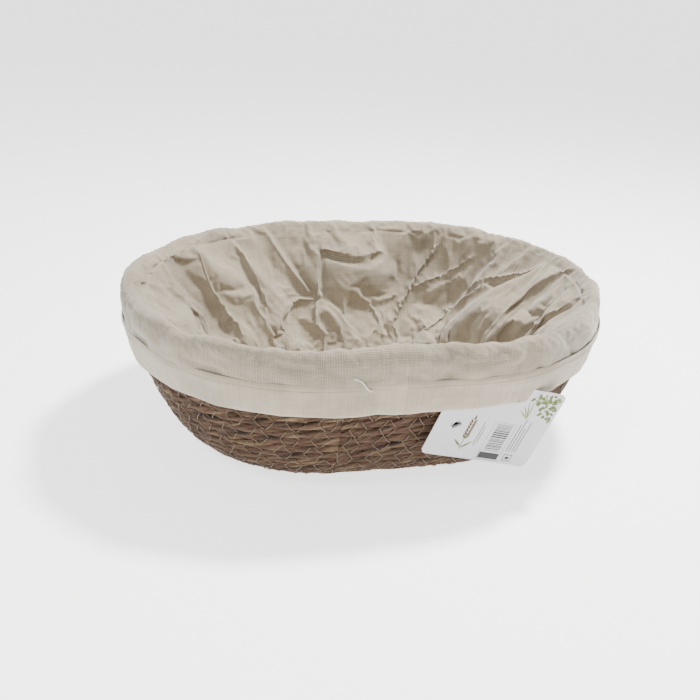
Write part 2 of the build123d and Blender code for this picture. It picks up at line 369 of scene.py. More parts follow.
def turn_path(k, whole):
    """Points along one turn that starts at level k, with its tangents and outward directions."""
    (rho, z), (rho_next, z_next) = level_point(k), level_point(min(k + 1, LAST))
    parts = []
    if k > 0:
        n = max(3, int(2 * SPINE / ROPE_STEP))
        x = np.linspace(-SPINE, SPINE, n, endpoint=False)
        parts.append(np.stack([x, 0 * x - rho, 0 * x + z, 0 * x - math.pi / 2, 0 * x], 1))
        n = max(8, int(math.pi * rho / ROPE_STEP))
        a = np.linspace(-math.pi / 2, math.pi / 2, n, endpoint=False)
        parts.append(np.stack([SPINE + rho * np.cos(a), rho * np.sin(a), 0 * a + z, a, 0 * a], 1))
    n = max(3, int(2 * SPINE / ROPE_STEP))
    x = np.linspace(SPINE, -SPINE, n, endpoint=not whole)
    parts.append(np.stack([x, 0 * x + rho, 0 * x + z, 0 * x + math.pi / 2, 0 * x], 1))
    if whole:
        middle, reach = (rho - rho_next) / 2, (rho + rho_next) / 2
        n = max(8, int(math.pi * reach / ROPE_STEP))
        a = np.linspace(math.pi / 2, 1.5 * math.pi, n)
        share = (a - math.pi / 2) / math.pi
        climb = z + (z_next - z) * (1 - np.cos(share * math.pi)) / 2
        parts.append(np.stack([-SPINE + reach * np.cos(a), middle + reach * np.sin(a), climb, a, share], 1))
    path = np.concatenate(parts)
    centre = path[:, :3]
    slope = slope_at(k + path[:, 4])
    facing = path[:, 3]
    away = np.stack([np.cos(facing) * np.sin(slope), np.sin(facing) * np.sin(slope), -np.cos(slope)], 1)
    tangent = np.gradient(centre, axis=0)
    tangent /= np.linalg.norm(tangent, axis=1)[:, None]
    away -= tangent * np.sum(away * tangent, 1)[:, None]
    away /= np.linalg.norm(away, axis=1)[:, None]
    return centre, tangent, away


def wave(x, seed, size):
    """A smooth random line through points this far apart."""
    r = np.random.default_rng(seed)
    knots = r.uniform(-1, 1, int(x[-1] / size) + 4)
    t = x / size
    i = np.floor(t).astype(int)
    f = t - i
    f = f * f * (3 - 2 * f)
    return knots[i] * (1 - f) + knots[i + 1] * f


def rope_rings(centre, tangent, away, start, seed, radius):
    """Rings of a loose bundle of twisted blades, and how deep each point lies in a gap, and its blade."""
    step = np.linalg.norm(np.diff(centre, axis=0), axis=1)
    s = np.concatenate([[0], np.cumsum(step)])
    travelled = s + start
    side = np.cross(tangent, away)
    theta = np.arange(ROPE_SIDES) * 2 * math.pi / ROPE_SIDES
    turn = 2 * math.pi * travelled / TWIST
    phase = theta[None, :] + turn[:, None] + 0.35 * wave(s, seed, 0.03)[:, None]
    starts = np.sort(np.random.default_rng(3).uniform(0, 0.6, BLADES) + np.arange(BLADES))
    edges = starts * 2 * math.pi / BLADES
    turns = np.mod(phase, 2 * math.pi)
    which = np.searchsorted(edges, turns, side="right") % BLADES
    low = edges[(which - 1) % BLADES]
    width = np.mod(edges[which] - low, 2 * math.pi)
    across = np.mod(turns - low, 2 * math.pi) / width
    lobe = np.sqrt(np.clip(1 - (2 * across - 1) ** 2, 0, 1))
    high = np.zeros_like(lobe)
    for b in range(BLADES):
        line = wave(s, seed * 31 + b, 0.045)[:, None]
        high = np.where(which == b, line, high)
    height = 0.5 * MM * high + 0.95 * MM * (lobe - 1)
    fine = 0.12 * MM * np.sin(phase * 17 + 2 * wave(s, seed + 5, 0.02)[:, None])
    tall = 0.2 * MM + 0.65 * MM * np.sin(theta) ** 2  # pressed together, so no light shows between turns
    r = np.reshape(radius, (-1, 1)) + height + fine + tall[None, :]
    rings = centre[:, None, :] + r[:, :, None] * (
        np.cos(theta)[None, :, None] * away[:, None, :]
        + np.sin(theta)[None, :, None] * side[:, None, :]
    )
    return rings, 1 - lobe, which + 0.37 * seed, travelled


def add_values(obj, **values):
    """Adds one number for each vertex, by name."""
    for key, value in values.items():
        layer = obj.data.attributes.new(key, "FLOAT", "POINT")
        layer.data.foreach_set("value", np.asarray(value, np.float32).ravel())


def build_rope():
    """One piece for each turn, with the twist running on from turn to turn, and the tail."""
    travelled = 0.0
    for k, name in enumerate(COILS):
        centre, tangent, away = turn_path(k, whole=k < LAST)
        rings, gap, blade, along = rope_rings(centre, tangent, away, travelled, k, ROPE_R)
        if k <= len(BASE_NAMES):
            rings[:, :, 2] = np.maximum(rings[:, :, 2], 0.05 * MM)
        obj = tube_object("rope_" + name, rings, along, 2 * math.pi * ROPE_R)
        add_values(obj, gap=gap, blade=blade)
        finish_piece(obj, SEAGRASS, "basket", [name])
        travelled = along[-1]
    build_tail(travelled)


def build_tail(travelled):
    """The rope's thinned-out end, lying on the turn below."""
    low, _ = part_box("rope_tail")
    reach = LEVELS[-1][0]
    turn = math.asin(min(1.0, (-SPINE - low.x) / reach))
    share = np.linspace(0, 1, 26)
    a = math.pi / 2 + turn * share
    radius = ROPE_R * (1 - 0.72 * share**1.4)
    below = LAST - 1 + turn * share / math.pi
    rho, z = level_point(below)
    slope = slope_at(below)
    up = ROPE_R + radius
    rho, z = rho + up * np.cos(slope), z + up * np.sin(slope)
    centre = np.stack([-SPINE + rho * np.cos(a), rho * np.sin(a), z], 1)
    tangent = np.gradient(centre, axis=0)
    tangent /= np.linalg.norm(tangent, axis=1)[:, None]
    away = np.stack([np.cos(a) * np.sin(slope), np.sin(a) * np.sin(slope), -np.cos(slope)], 1)
    rings, gap, blade, along = rope_rings(centre, tangent, away, travelled, LAST, radius - 0.3 * MM)
    obj = tube_object("rope_tail_end", rings, along, 2 * math.pi * ROPE_R)
    add_values(obj, gap=gap, blade=blade)
    finish_piece(obj, SEAGRASS, "basket", ["rope_tail"])


build_rope()

# --- Zigzag thread -----------------------------------------------------------------------------
THREAD_R = 0.25 * MM
STITCH_GAP = 16.2 * MM  # from one hexagon of thread to the next
WIDE, NARROW = 5.1 * MM, 0.9 * MM  # half a hexagon's width at its middle and at its ends
IN_GROOVE, OVER_ROPE = 2.9 * MM, 0.35 * MM  # where a thread lies, out from the ropes' centres and faces


def thread_tubes(paths, radius, sides=5):
    """Vertices, faces and corner uv of round threads along many short paths."""
    verts, faces, uvs, start = [], [], [], 0
    theta = np.arange(sides) * 2 * math.pi / sides
    for p in paths:
        t = np.gradient(p, axis=0)
        t /= np.linalg.norm(t, axis=1)[:, None] + 1e-12
        ref = np.where(np.abs(t[:, 2:3]) < 0.9, [[0, 0, 1.0]], [[1.0, 0, 0]])
        a = np.cross(t, ref)
        a /= np.linalg.norm(a, axis=1)[:, None]
        b = np.cross(t, a)
        ring = p[:, None] + radius * (
            np.cos(theta)[None, :, None] * a[:, None] + np.sin(theta)[None, :, None] * b[:, None]
        )
        rows = len(p)
        index, place = grid_faces(rows, sides)
        s = np.concatenate([[0], np.cumsum(np.linalg.norm(np.diff(p, axis=0), axis=1))])
        around = place[:, :, 1] * (2 * math.pi * radius / sides)
        uvs.append(np.stack([s[place[:, :, 0]], around], 2).reshape(-1, 2))
        faces += (index + start).tolist()
        last = start + (rows - 1) * sides
        faces += [[start + i for i in range(sides)][::-1], [last + i for i in range(sides)]]
        uvs.append(np.zeros((2 * sides, 2)))
        verts.append(ring.reshape(-1, 3))
        start += rows * sides
    return np.concatenate(verts), faces, np.concatenate(uvs)


def wall_stitches(inside):
    """Short threads that make rows of hexagons over the rope wall, on its outside or inside."""
    paths = []
    r = np.random.default_rng(11 + inside)
    side = -1 if inside else 1
    for groove in range(len(BASE_NAMES), LAST - 1, 2):
        length = 4 * SPINE + 2 * math.pi * float(level_point(groove + 0.5)[0])
        count = int(length / STITCH_GAP)
        shift = r.uniform(0, 1)
        for j in range(count):
            q = (j + shift) * ROUND / count - SPINE
            for hand in (-1, 1):
                paths.append(one_stitch(q, hand * ROUND / length, groove + 0.5, side, r))
    return paths


def one_stitch(q, hand, groove, side, r):
    """One bent thread: over the rope below a groove, into the groove, and over the rope above it."""
    wide = (WIDE + r.normal(0, 0.35 * MM)) * hand
    low = (NARROW + r.normal(0, 0.5 * MM)) * hand
    high = (NARROW + r.normal(0, 0.5 * MM)) * hand
    t = np.linspace(-1, 1, 15)
    place = q + wide + (np.where(t < 0, low, high) - wide) * np.abs(t)
    from_rope = groove + t - np.round(groove + t)
    bulge = np.sqrt(np.clip(1 - (2 * from_rope) ** 2, 0.0, 1))
    out = side * (IN_GROOVE + (ROPE_R + OVER_ROPE - IN_GROOVE) * bulge)
    rho, z = level_point(np.minimum(groove + t + climb_share(place), LAST + 0.3), out)
    x, y, _, _ = oval(place, rho)
    return np.stack([x, y, z], 1)


def climb_share(q):
    """How far round the climbing left end a place is, from 0 at its back to 1 at its front."""
    q = np.mod(np.asarray(q) + SPINE, ROUND)
    return np.clip((q - 4 * SPINE - 2 * QUARTER) / (2 * QUARTER), 0, 1)


def build_stitches():
    """The twine on the wall's outside and inside."""
    for name, inside in (("stitching_outside", False), ("stitching_inside", True)):
        co, faces, uv = thread_tubes(wall_stitches(inside), THREAD_R)
        obj = new_mesh(name, co, faces, uv)
        finish_piece(obj, TWINE, "basket", [] if inside else ["wall_stitching", "base_stitching"])


build_stitches()


# --- Liner -------------------------------------------------------------------------------------
LINER_BODY = "liner"
cuff_low, cuff_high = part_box("liner_cuff")
floor_low, floor_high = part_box("liner_floor")
hem_low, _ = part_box("liner_hem")
CLOTH_COLS, CLOTH_ROWS = 330, 66
CLOTH_OFF = ROPE_R + 1.2 * MM  # from the rope's centre to the cloth, inside

# Cuff's cross-section: shares of the way from the rim's rope out to its outermost, and of its height.
CUFF_SHAPE = [
    (-0.48, 0.62), (-0.50, 0.80), (-0.22, 0.96), (0.25, 1.0), (0.66, 0.92), (0.92, 0.74), (1.0, 0.50),
    (0.97, 0.24), (0.86, 0.02), (0.80, -0.05),
]
SETTLE_FRAMES = 24


def smooth_line(points, count):
    """Evenly spaced points along a smooth curve through these points."""
    p = np.array(points, float)
    pad = np.vstack([2 * p[0] - p[1], p, 2 * p[-1] - p[-2]])
    out = []
    for i in range(1, len(pad) - 2):
        t = np.linspace(0, 1, 20, endpoint=False)[:, None]
        a, b, c, d = pad[i - 1], pad[i], pad[i + 1], pad[i + 2]
        square, cube = 2 * a - 5 * b + 4 * c - d, 3 * b - 3 * c + d - a
        out.append(0.5 * (2 * b + (c - a) * t + square * t**2 + cube * t**3))
    out = np.vstack([*out, p[-1]])
    s = np.concatenate([[0], np.cumsum(np.linalg.norm(np.diff(out, axis=0), axis=1))])
    want = np.linspace(0, s[-1], count)
    return np.stack([np.interp(want, s, out[:, i]) for i in range(out.shape[1])], 1), want


def liner_profile():
    """Cross-section of the cloth: from the floor seam up the wall, over the rim, down to the hem's seam."""
    seam = floor_high.y
    points = [(seam, (floor_low.z + floor_high.z) / 2)]
    for k in np.arange(len(BASE_NAMES) + 0.5, LAST + 0.1, 1.5):
        points.append(tuple(float(x) for x in level_point(k, -CLOTH_OFF)))
    rim = LEVELS[-1][0]
    for out, up in CUFF_SHAPE:
        points.append((rim + out * (cuff_high.y - rim), cuff_low.z + up * (cuff_high.z - cuff_low.z)))
    return smooth_line(points, CLOTH_ROWS)


# Creases in the inner wall: (place round the oval, height) along each in mm, then how far it stands out,
# and how wide it is on its sharp side and on its soft side. The soft side is to the left along the line.
CREASES = [
    ([(397, 92), (395, 60), (398, 40), (394, 15)], 4.6, 1.6, 7.0),
    ([(457, 56), (459, 42), (455, 30), (452, 17)], 4.2, 1.5, 9.0),
    ([(489, 96), (491, 76), (489, 58), (481, 32)], 2.6, 2.2, 12.0),
    ([(547, 84), (534, 72), (524, 60), (512, 44)], 5.2, 1.8, 9.0),
    ([(431, 97), (424, 82), (409, 58), (402, 46)], 3.6, 1.6, 7.0),
    ([(458, 93), (450, 71), (434, 51)], 3.4, 1.7, 8.0),
    ([(341, 80), (362, 76), (378, 78), (396, 84)], 5.4, 1.5, 9.0),
    ([(370, 54), (356, 45), (349, 34), (345, 14)], 4.6, 1.5, 7.0),
    ([(356, 45), (340, 47), (326, 53)], 3.2, 1.6, 5.0),
    ([(301, 92), (314, 67), (322, 50), (335, 27)], 5.4, 1.7, 8.0),
    ([(272, 86), (283, 76), (297, 66), (319, 54)], 5.0, 1.7, 8.0),
    ([(216, 97), (233, 80), (265, 62), (285, 46), (297, 26)], 5.4, 1.8, 9.0),
    ([(195, 97), (204, 71), (208, 48)], 3.2, 2.0, 9.0),
    ([(434, 40), (413, 47), (397, 46)], 3.4, 1.5, 6.0),
    ([(395, 43), (382, 31), (379, 18)], 3.4, 1.5, 6.0),
    ([(247, 70), (262, 50), (270, 30)], 3.0, 1.8, 8.0),
    ([(352, 98), (349, 92), (346, 86)], 1.8, 1.6, 5.0),
    ([(384, 98), (388, 90), (392, 86)], 1.8, 1.6, 5.0),
    ([(150, 94), (165, 62), (150, 30)], 3.6, 1.8, 9.0),
    ([(100, 94), (92, 60), (104, 26)], 4.0, 1.8, 9.0),
    ([(74, 80), (84, 52), (70, 26)], 3.4, 1.6, 7.0),
    ([(40, 94), (52, 58), (40, 20)], 3.6, 1.8, 8.0),
    ([(-10, 94), (-22, 50), (-12, 20)], 3.6, 1.7, 8.0),
    ([(-46, 90), (-36, 60), (-52, 30)], 3.4, 1.8, 8.0),
    ([(690, 94), (700, 60), (688, 24)], 3.6, 1.8, 8.0),
    ([(660, 84), (650, 56), (664, 30)], 3.4, 1.8, 8.0),
    ([(630, 94), (622, 58), (640, 24)], 4.0, 1.8, 9.0),
    ([(590, 92), (600, 60), (584, 30)], 4.0, 1.8, 9.0),
]


def fold_height(q, v, points, high, sharp, soft):
    """A fold's height at places (q, v): sharp on one side of its line and soft on the other."""
    line, _ = smooth_line(np.array(points, float) * MM, 16)
    best, side, share = np.full(q.shape, 1e9), np.ones(q.shape), np.zeros(q.shape)
    for i, (a, b) in enumerate(zip(line[:-1], line[1:])):
        d = b - a
        dq = np.mod(q - a[0] + ROUND / 2, ROUND) - ROUND / 2
        dv = v - a[1]
        t = np.clip((dq * d[0] + dv * d[1]) / (d @ d), 0, 1)
        away = np.hypot(dq - t * d[0], dv - t * d[1])
        near = away < best
        best = np.where(near, away, best)
        side = np.where(near, d[0] * dv - d[1] * dq, side)
        share = np.where(near, (i + t) / (len(line) - 1), share)
    width = np.where(side > 0, soft, sharp) * MM
    ends = np.clip(np.minimum(share, 1 - share) * 5 + 0.25, 0, 1)
    return high * MM * ends * np.exp(-((best / width) ** 1.3))


def crease_depth(q, z, wider=1.0):
    """How far the creases push the cloth in from the wall at places round the oval and heights, in metres."""
    depth = np.zeros_like(q)
    for points, high, sharp, soft in CREASES:
        depth = np.maximum(depth, fold_height(q, z, points, high, sharp * wider, soft * wider))
    return depth


def softened(field, times=1):
    """A field on the cloth's grid, averaged with its neighbours."""
    for _ in range(times):
        field = (np.roll(field, 1, 1) + 2 * field + np.roll(field, -1, 1)) / 4
        tall = np.vstack([field[:1], field, field[-1:]])
        field = (tall[:-2] + 2 * tall[1:-1] + tall[2:]) / 4
    return field


def liner_points():
    """The cloth before it settles: on the wall, pushed in along its creases, and full over the rim."""
    profile, v = liner_profile()
    q = np.arange(CLOTH_COLS) * ROUND / CLOTH_COLS
    direction = np.gradient(profile, axis=0)
    direction /= np.linalg.norm(direction, axis=1)[:, None]
    inward = np.stack([-direction[:, 1], direction[:, 0]], 1)
    qq, zz = np.meshgrid(q, profile[:, 1])
    rim_row = int(np.argmax(profile[:, 1]))
    row = np.arange(CLOTH_ROWS)[:, None]
    wall = np.clip((rim_row - row) / 8, 0, 1)
    floor_end = np.clip(row / 5, 0, 1)
    depth = crease_depth(qq, zz, 1.3) * wall * floor_end
    depth += (1.2 * MM + 1.6 * MM * smooth_noise(qq.shape, (9, 34), 5)) * wall * floor_end
    hem_end = np.clip((CLOTH_ROWS - 1 - row) / 6, 0, 1)
    puff = smooth_noise(qq.shape, (5, 34), 8) * 1.7 * MM + smooth_noise(qq.shape, (10, 84), 9) * 0.9 * MM
    depth = depth - (1 - wall) * hem_end * puff
    rho = profile[:, 0][:, None] + inward[:, 0][:, None] * depth
    z = profile[:, 1][:, None] + inward[:, 1][:, None] * depth
    x, y, _, _ = oval(qq, rho)
    return np.stack([x, y, z], 2), q, v, rim_row


def rope_hull():
    """A smooth closed shell round the rope wall, for the cloth to rest on."""
    k = np.linspace(len(BASE_NAMES) - 2, LAST, 24)
    inner = np.stack(level_point(k, -(ROPE_R + 0.3 * MM)), 1)
    outer = np.stack(level_point(k[::-1], ROPE_R + 0.2 * MM), 1)
    top = np.array(level_point(LAST, 0)) + [0, ROPE_R + 0.3 * MM]
    loop = np.vstack([inner, top[None], outer])
    q = np.arange(160) * ROUND / 160
    qq, rho = np.meshgrid(q, loop[:, 0])
    x, y, _, _ = oval(qq, rho)
    points = np.stack([x, y, np.broadcast_to(loop[:, 1][:, None], x.shape)], 2)
    rows, cols = points.shape[:2]
    faces = []
    for r in range(rows):
        for c in range(cols):
            a, b = r * cols + c, r * cols + (c + 1) % cols
            d, e = ((r + 1) % rows) * cols + c, ((r + 1) % rows) * cols + (c + 1) % cols
            faces.append([a, d, e, b])
    return new_mesh("rope_hull", points, faces)


def settle(obj, hull, pins, frames):
    """Lets the cloth settle under its own weight on the rope, held where its pin weights say."""
    group = obj.vertex_groups.new(name="pin")
    for weight in np.unique(np.round(pins, 2)):
        index = np.nonzero(np.isclose(np.round(pins, 2), weight))[0]
        group.add([int(i) for i in index], float(weight), "REPLACE")
    hull.modifiers.new("hit", "COLLISION")
    hull.collision.thickness_outer = 0.6 * MM
    hull.collision.cloth_friction = 12
    cloth = obj.modifiers.new("cloth", "CLOTH")
    s = cloth.settings
    s.quality = 6
    s.mass = 0.02
    s.tension_stiffness = 12
    s.compression_stiffness = 12
    s.shear_stiffness = 4
    s.bending_stiffness = 0.02
    s.air_damping = 1.5
    s.vertex_group_mass = "pin"
    s.shrink_min = -0.035
    c = cloth.collision_settings
    c.distance_min = 1.0 * MM
    c.collision_quality = 3
    c.use_self_collision = False
    cloth.point_cache.frame_start = 1
    cloth.point_cache.frame_end = frames
    scene = bpy.context.scene
    scene.frame_start, scene.frame_end = 1, frames
    for f in range(1, frames + 1):
        scene.frame_set(f)
    bpy.context.view_layer.objects.active = obj
    bpy.ops.object.modifier_apply(modifier=cloth.name)
    scene.frame_set(1)
    bpy.data.objects.remove(hull, do_unlink=True)


GATHERED = 150.0  # place round the oval, in mm, about which the cuff is wrinkled most
PLEATS = [
    ([(148, 2), (141, 12), (137, 26)], 1.9, 1.2, 4.0),
    ([(160, 0), (150, 12), (146, 27)], 2.1, 1.2, 4.5),
    ([(171, 3), (163, 15), (158, 28)], 1.9, 1.2, 4.0),
    ([(136, 6), (126, 10), (114, 12)], 1.5, 1.0, 3.5),
    ([(128, 0), (116, 5), (104, 4)], 1.3, 1.2, 4.0),
    ([(132, 20), (120, 22), (108, 20)], 1.2, 1.0, 3.5),
    ([(-150, 14), (-142, 17), (-132, 14)], 2.0, 1.2, 4.5),
    ([(-162, -2), (-158, 8), (-150, 14)], 1.6, 1.2, 4.0),
    ([(-108, 13), (-98, 16), (-88, 15)], 1.4, 1.0, 3.5),
    ([(-66, 6), (-52, 9), (-40, 7)], 0.9, 1.2, 3.5),
    ([(20, 5), (36, 9), (50, 6)], 0.9, 1.2, 3.5),
    ([(62, 8), (70, 16), (72, 24)], 1.1, 1.2, 4.0),
    ([(88, 2), (92, 12), (98, 22)], 1.2, 1.2, 4.0),
]


def cuff_folds():
    """Wrinkles in the cuff: (line of (place round the oval, way down the cuff) in mm, height, widths)."""
    r = np.random.default_rng(17)
    folds = []
    for _ in range(190):
        q, down = r.uniform(0, 1000 * ROUND), r.uniform(-4, 27)
        tight = 0.5 + 0.5 * math.cos(2 * math.pi * (q - GATHERED) / (1000 * ROUND))
        length, lean = r.uniform(7, 24), r.normal(0, 0.35)
        lean += (r.random() < 0.25 + 0.4 * tight**4) * r.choice([-0.9, 0.9])
        high = r.uniform(0.4, 1.15) * (0.75 + 0.9 * tight**5)
        dq, dv = length / 2 * math.cos(lean), length / 2 * math.sin(lean)
        bend = r.normal(0, 1.2)
        line = [(q - dq, down - dv), (q, down + bend), (q + dq, down + dv)]
        folds.append((line, high, r.uniform(0.8, 1.5), r.uniform(1.8, 3.6)))
    return folds + PLEATS


def add_folds(points, v, rim_row):
    """Crisp folds after the cloth has settled: creases on the wall, and wrinkles and pleats in the cuff."""
    rows, cols = points.shape[:2]
    along_q = np.roll(points, -1, 1) - np.roll(points, 1, 1)
    along_v = np.gradient(points, axis=0)
    out = np.cross(along_q, along_v)
    out /= np.linalg.norm(out, axis=2)[:, :, None]
    q = np.arange(cols) * ROUND / cols
    qq, vv = np.meshgrid(q, v - v[rim_row])
    height = np.zeros(qq.shape)
    for fold in cuff_folds():
        first = np.array(fold[0])
        near = np.abs(np.mod(qq - first[:, 0].mean() * MM + ROUND / 2, ROUND) - ROUND / 2) < 40 * MM
        height[near] = np.maximum(height[near], fold_height(qq[near], vv[near], *fold))
    row = np.arange(rows)[:, None]
    cuff = np.clip((vv + 4 * MM) / (6 * MM), 0, 1) * np.clip((rows - 1 - row) / 5, 0, 1)
    wall = np.clip((-vv - 2 * MM) / (8 * MM), 0, 1) * np.clip(row / 6, 0, 1)
    crease = softened(crease_depth(qq, points[:, :, 2], 1.15), 2) * 0.6
    ripple = smooth_noise(qq.shape, (34, 170), 41) * 0.16 * MM
    ripple = ripple + smooth_noise(qq.shape, (16, 80), 42) * 0.34 * MM
    wall_part = crease + ripple * 1.2
    cuff_part = softened(height) * 1.2 + ripple * 1.9
    return points + out * (wall * wall_part + cuff * cuff_part)[:, :, None]


def build_liner():
    points, q, v, rim_row = liner_points()
    obj = grid_object("liner_cloth", points, q, v)
    pins = np.zeros(points.shape[:2])
    pins[0] = 1.0
    pins[rim_row + 4 :] = 1.0
    pins[rim_row - 1 : rim_row + 4] = 0.85
    settle(obj, rope_hull(), pins.ravel(), SETTLE_FRAMES)
    settled = np.empty(CLOTH_ROWS * CLOTH_COLS * 3)
    obj.data.vertices.foreach_get("co", settled)
    bpy.data.objects.remove(obj, do_unlink=True)
    fine, fine_v = refined(settled.reshape(CLOTH_ROWS, CLOTH_COLS, 3), v)
    fine = add_folds(fine, fine_v, 2 * rim_row)
    cols = fine.shape[1]
    obj = grid_object("liner_cloth", fine, np.arange(cols) * ROUND / cols, fine_v)
    return finish_piece(obj, LINEN, LINER_BODY, ["liner_side", "liner_cuff"])


def refined(points, v):
    """Twice as many rows and columns, on smooth curves through the points."""
    ahead, back, far = np.roll(points, -1, 1), np.roll(points, 1, 1), np.roll(points, -2, 1)
    between = (9 * (points + ahead) - back - far) / 16
    wide = np.stack([points, between], 2).reshape(points.shape[0], -1, 3)
    padded = np.concatenate([2 * wide[:1] - wide[1:2], wide, 2 * wide[-1:] - wide[-2:-1]])
    middle = (9 * (padded[1:-2] + padded[2:-1]) - padded[:-3] - padded[3:]) / 16
    tall = np.empty((2 * len(wide) - 1, wide.shape[1], 3))
    tall[0::2], tall[1::2] = wide, middle
    return tall, np.interp(np.arange(2 * len(v) - 1) / 2, np.arange(len(v)), v)


LINER = build_liner()


def build_floor_cloth():
    """The liner's floor panel: nearly flat, with soft puckers near its seam."""
    seam = floor_high.y
    rho = np.linspace(1.0 * MM, seam, 28)
    q = np.arange(200) * ROUND / 200
    qq, rr = np.meshgrid(q, rho)
    x, y, _, _ = oval(qq, rr)
    lift = smooth_noise(qq.shape, (6, 26), 21) * 1.0 * MM * np.clip(rr / seam, 0, 1)
    lift = lift * np.clip((seam - rr) / (8 * MM), 0, 1)
    z = (floor_low.z + floor_high.z) / 2 + 0.4 * MM + lift
    points = np.stack([x, y, z], 2)
    rows, cols = points.shape[:2]
    index, _ = grid_faces(rows, cols)
    faces = index.tolist() + [list(range(cols))[::-1]]
    flat = points.reshape(-1, 3)
    uv = [flat[i][:2] for face in faces for i in face]
    obj = new_mesh("floor_cloth", points, faces, np.array(uv))
    return finish_piece(obj, LIT_FLOOR_LINEN, LINER_BODY, ["liner_floor"])


FLOOR_CLOTH = build_floor_cloth()

# --- Hem ---------------------------------------------------------------------------------------
HEM_ROWS, HEM_COLS = 34, 900
tag_low, tag_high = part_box("swing_tag")
swing = next(j for j in frame["joints"] if j["name"] == "tag_swing")
hole = Vector(swing["pos_m"])
face_out = Vector(swing["axis"]).normalized()
if face_out.y > 0:
    face_out = -face_out
# Hem's cross-section: (out, up) in mm from its seam, down the front, round the fold and up behind.
HEM_LINE = [
    (0.4, 2.2), (0.9, 0.6), (0.55, -1.6), (-0.5, -6.0), (-1.6, -10.5), (-2.8, -15.2), (-3.9, -17.3),
    (-5.2, -15.8), (-4.6, -10.0), (-3.4, -4.0), (-2.6, 0.5),
]
HEM_FRONT = 22  # rows in front of the fold
SEAM_ROW, SEAM_PITCH, SEAM_STITCH = 3, 2.6 * MM, 1.9 * MM


def hem_points():
    """The hem's rows from its seam down the outside, round the fold at its foot and up behind."""
    seam_rho = LEVELS[-1][0] + 0.86 * (cuff_high.y - LEVELS[-1][0])
    seam_z = cuff_low.z + 0.02 * (cuff_high.z - cuff_low.z)
    scale = (seam_z - hem_low.z) / (17.3 * MM)
    line, v = smooth_line([(seam_rho + a * MM, seam_z + b * MM * scale) for a, b in HEM_LINE], HEM_ROWS)
    q = np.arange(HEM_COLS) * ROUND / HEM_COLS
    qq, vv = np.meshgrid(q, v)
    fade = np.clip(vv / (6 * MM), 0.12, 1)
    pucker = smooth_noise(qq.shape, (3, 150), 31) * 0.35 * MM + smooth_noise(qq.shape, (1, 58), 32) * 1.0 * MM
    pucker += smooth_noise(qq.shape, (3, 24), 33) * 0.5 * MM
    drop = smooth_noise(qq.shape, (1, 46), 34) * 0.75 * MM * np.clip(vv / (16 * MM), 0, 1)
    rho = line[:, 0][:, None] + pucker * fade
    z = line[:, 1][:, None] + drop
    x, y, _, _ = oval(qq, rho)
    return np.stack([x, y, z], 2), q, v


TAG_SIZE = (70.5 * MM, 53.5 * MM)
TAG_IN = (12.5 * MM, 22.5 * MM)  # the hole's place from the tag's lower left corner
TAG_R, HOLE_R, TAG_T = 3.5 * MM, 1.7 * MM, 0.45 * MM
UNDER_HEM = 52 * MM  # how far along the tag the hem lies over it
TUCK_EDGE = 9 * MM  # width in which the hem rises onto the tag


def tag_frame():
    """Directions along and up the tag's face, from its box and its hinge."""
    level = Vector((0, 0, 1)).cross(face_out).normalized()
    if level.x < 0:
        level = -level
    up = face_out.cross(level)
    if up.z < 0:
        up = -up
    best = None
    for step in range(401):
        droop = math.radians(step * 0.1)
        along = level * math.cos(droop) - up * math.sin(droop)
        across = level * math.sin(droop) + up * math.cos(droop)
        corners = [
            hole + along * a + across * c
            for c in (-TAG_IN[1], TAG_SIZE[1] - TAG_IN[1])
            for a in (-TAG_IN[0], TAG_SIZE[0] - TAG_IN[0])
        ]
        xs, zs = [p.x for p in corners], [p.z for p in corners]
        miss = abs(min(zs) - tag_low.z) + abs(max(zs) - tag_high.z)
        miss = miss + abs(min(xs) - tag_low.x) + abs(max(xs) - tag_high.x)
        if best is None or miss < best[0]:
            best = (miss, along, across)
    return best[1], best[2]


TAG_ALONG, TAG_ACROSS = tag_frame()


def over_tag(points, gap):
    """Cloth points moved out so that they lie in front of the tag where it is tucked under."""
    flat = points.reshape(-1, 3)
    rel = flat - np.array(hole)
    a = rel @ np.array(TAG_ALONG) + TAG_IN[0]
    c = rel @ np.array(TAG_ACROSS) + TAG_IN[1]
    f = rel @ np.array(face_out)
    inside = [a + TUCK_EDGE, UNDER_HEM - a, TAG_SIZE[1] + 0.7 * TUCK_EDGE - c, c + TUCK_EDGE]
    weight = np.clip(np.minimum.reduce(inside) / TUCK_EDGE, 0, 1)
    weight = weight * weight * (3 - 2 * weight)
    push = np.clip(gap - f, 0, None) * weight * (np.abs(f) < 14 * MM)
    moved = flat + np.array(face_out)[None] * push[:, None]
    return moved.reshape(points.shape)


def build_hem():
    """The hem: cloth folded double over the elastic, puckered where the elastic gathers it."""
    points, q, v = hem_points()
    points[:HEM_FRONT] = over_tag(points[:HEM_FRONT], TAG_T / 2 + 0.7 * MM)
    obj = grid_object("hem_band", points, q, v)
    finish_piece(obj, HEM_LINEN, LINER_BODY, ["liner_hem", "hem_elastic"])
    line = points[SEAM_ROW]
    outward = line - line.mean(0)
    outward[:, 2] = 0
    outward /= np.linalg.norm(outward, axis=1)[:, None]
    paths = []
    for j in range(int(ROUND / SEAM_PITCH)):
        t = np.mod(j * SEAM_PITCH + np.linspace(0, SEAM_STITCH, 5), ROUND)
        lift = np.sin(np.linspace(0, math.pi, 5)) * 0.22 * MM + 0.02 * MM
        p = np.stack([np.interp(t, q, line[:, i]) for i in range(3)], 1)
        o = np.stack([np.interp(t, q, outward[:, i]) for i in range(3)], 1)
        if np.all(np.abs(np.diff(t)) < SEAM_PITCH):
            paths.append(p + o * lift[:, None])
    co, faces, uv = thread_tubes(paths, 0.13 * MM, 4)
    sewn = new_mesh("hem_seam_thread", co, faces, uv)
    finish_piece(sewn, SEWING, LINER_BODY, ["hem_stitching", "floor_stitching"])
    return obj


HEM = build_hem()


